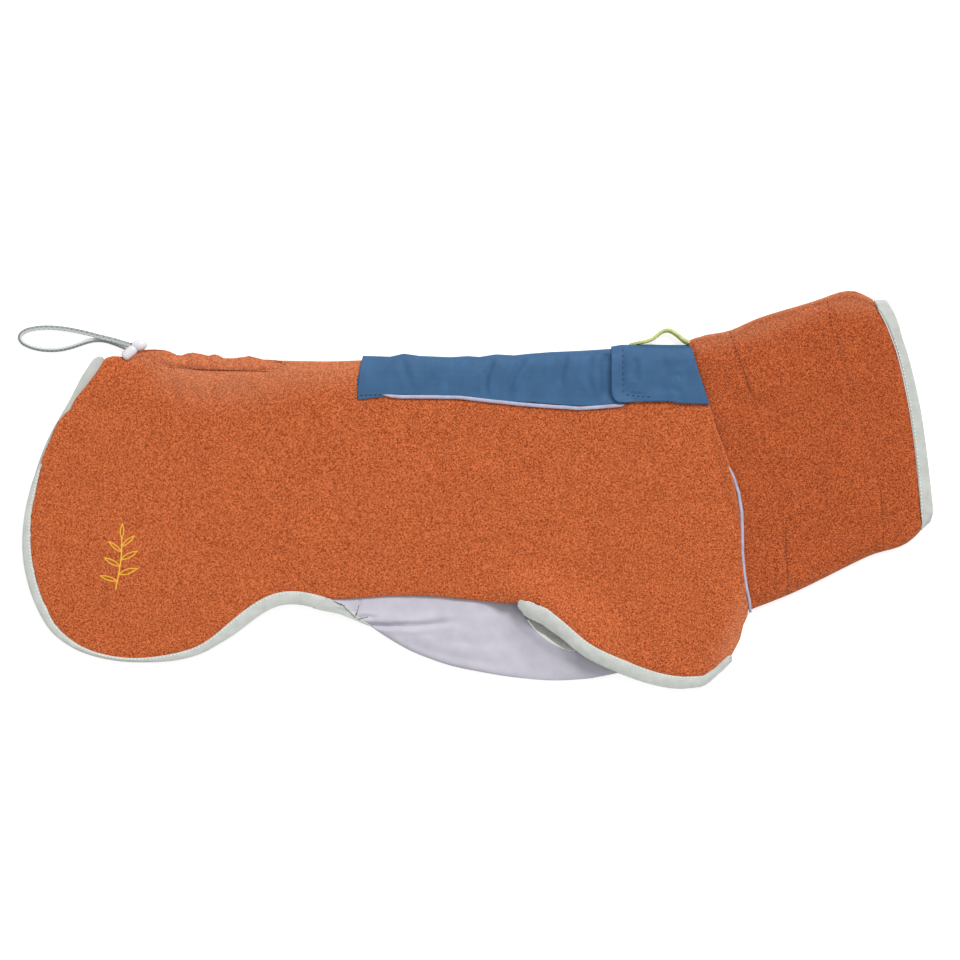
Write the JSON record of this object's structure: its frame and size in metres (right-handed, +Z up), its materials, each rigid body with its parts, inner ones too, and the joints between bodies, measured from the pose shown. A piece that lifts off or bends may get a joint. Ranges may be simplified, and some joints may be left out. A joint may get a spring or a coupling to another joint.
{
  "type": "dog sweater",
  "caption": "Dog's fleece sweater laid flat on its side: turtleneck collar, bound hems, belly panel, back panel with tab, and a drawcord at the tail.",
  "frame": {"origin": "centre of the laid garment's outline, without its cord and cord lock, on the surface that it lies on", "axes": "+X from the tail to the collar, +Y from the belly to the back, +Z up from the surface"},
  "size_m": [0.6851, 0.2977, 0.0113],
  "materials": {
    "fleece": "napped polyester fleece, matte",
    "shell_fabric": "smooth tight plain weave, slight sheen",
    "stretch_fabric": "smooth fine stretch knit, satin",
    "binding_tape": "folded stretch binding tape, matte",
    "dark_tape": "thin stretch tape, matte",
    "piping": "reflective woven piping, satin",
    "cord_sheath": "braided sheath with reflective flecks",
    "moulded_plastic": "moulded, fine satin",
    "loop_tape": "woven ribbon tape, matte"
  },
  "bodies": {
    "root": {"side_near": "fleece", "side_far": "fleece", "collar": "fleece", "drawcord_casing": "fleece", "back_panel": "shell_fabric", "back_tab": "shell_fabric", "back_piping_near": "piping", "back_piping_far": "piping", "seam_piping_near": "piping", "seam_piping_far": "piping", "belly_panel": "stretch_fabric", "neck_binding": "binding_tape", "hem_binding_near": "binding_tape", "hem_binding_far": "binding_tape", "belly_binding_near": "binding_tape", "belly_binding_far": "binding_tape", "armhole_binding_near": "binding_tape", "armhole_binding_far": "binding_tape", "strip_binding_near": "dark_tape", "strip_binding_far": "dark_tape", "drawcord": "cord_sheath", "cord_lock": "moulded_plastic", "cord_lock_button": "moulded_plastic", "hanging_loop": "loop_tape"}
  },
  "joints": []
}
